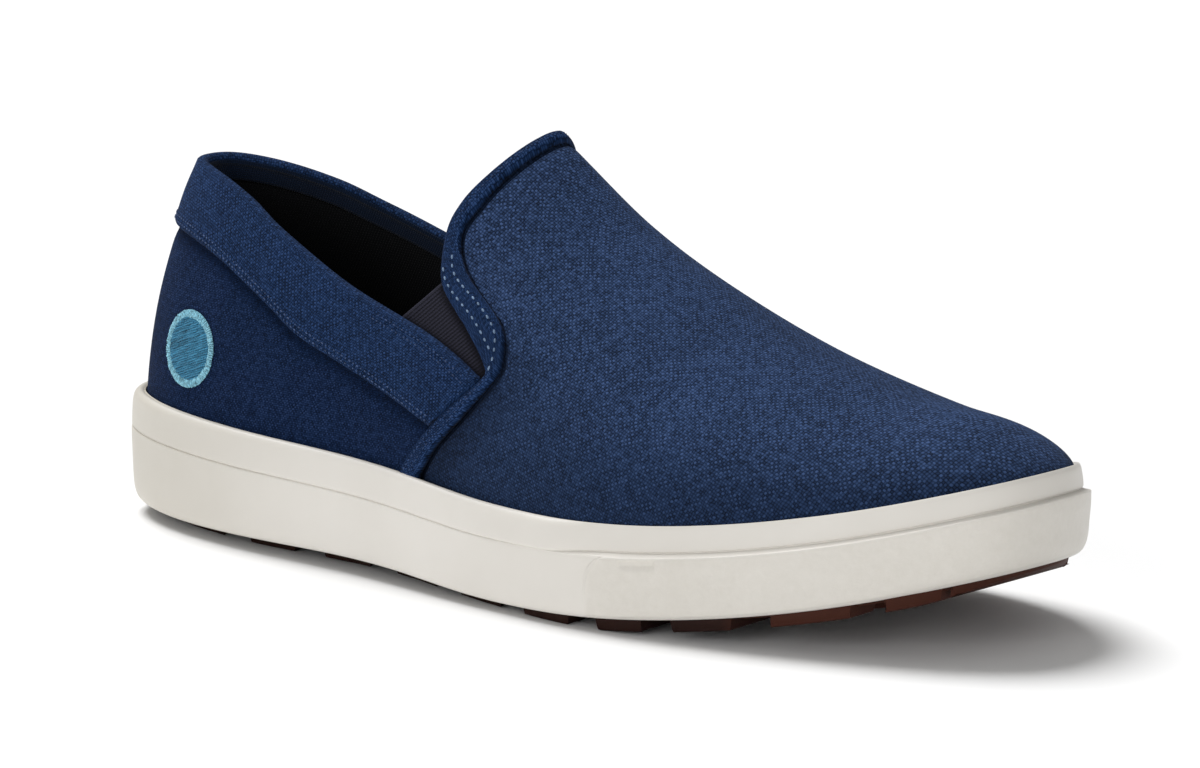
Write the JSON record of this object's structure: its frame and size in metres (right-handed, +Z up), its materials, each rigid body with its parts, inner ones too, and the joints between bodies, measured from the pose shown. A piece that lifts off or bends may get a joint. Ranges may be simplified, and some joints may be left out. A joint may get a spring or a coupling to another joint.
{
  "type": "slip-on sneaker",
  "caption": "Low canvas slip-on sneaker for the right foot, with elastic side gores, a folded collar band and a moulded cup sole on a gum rubber tread.",
  "frame": {"origin": "centre of the bounding box on the floor that the shoe stands on", "axes": "+X from heel to toe, -Y towards the outer side of the right foot, +Z up"},
  "size_m": [0.3, 0.107, 0.1162],
  "materials": {
    "gum_rubber": "matt moulded gum rubber",
    "white_rubber": "satin moulded off-white rubber",
    "footbed": "dark textile footbed cover",
    "canvas": "plain-weave navy canvas",
    "canvas_trim": "folded and stitched navy canvas",
    "elastic": "ribbed charcoal elastic",
    "lining": "near-black textile lining",
    "thread": "pale blue sewing thread"
  },
  "bodies": {
    "root": {"outsole": "gum_rubber", "cupsole": "white_rubber", "insole": "footbed", "upper": "canvas", "collar_band": "canvas_trim", "throat_border": "canvas_trim", "gore_lateral": "elastic", "gore_medial": "elastic"}
  },
  "joints": []
}
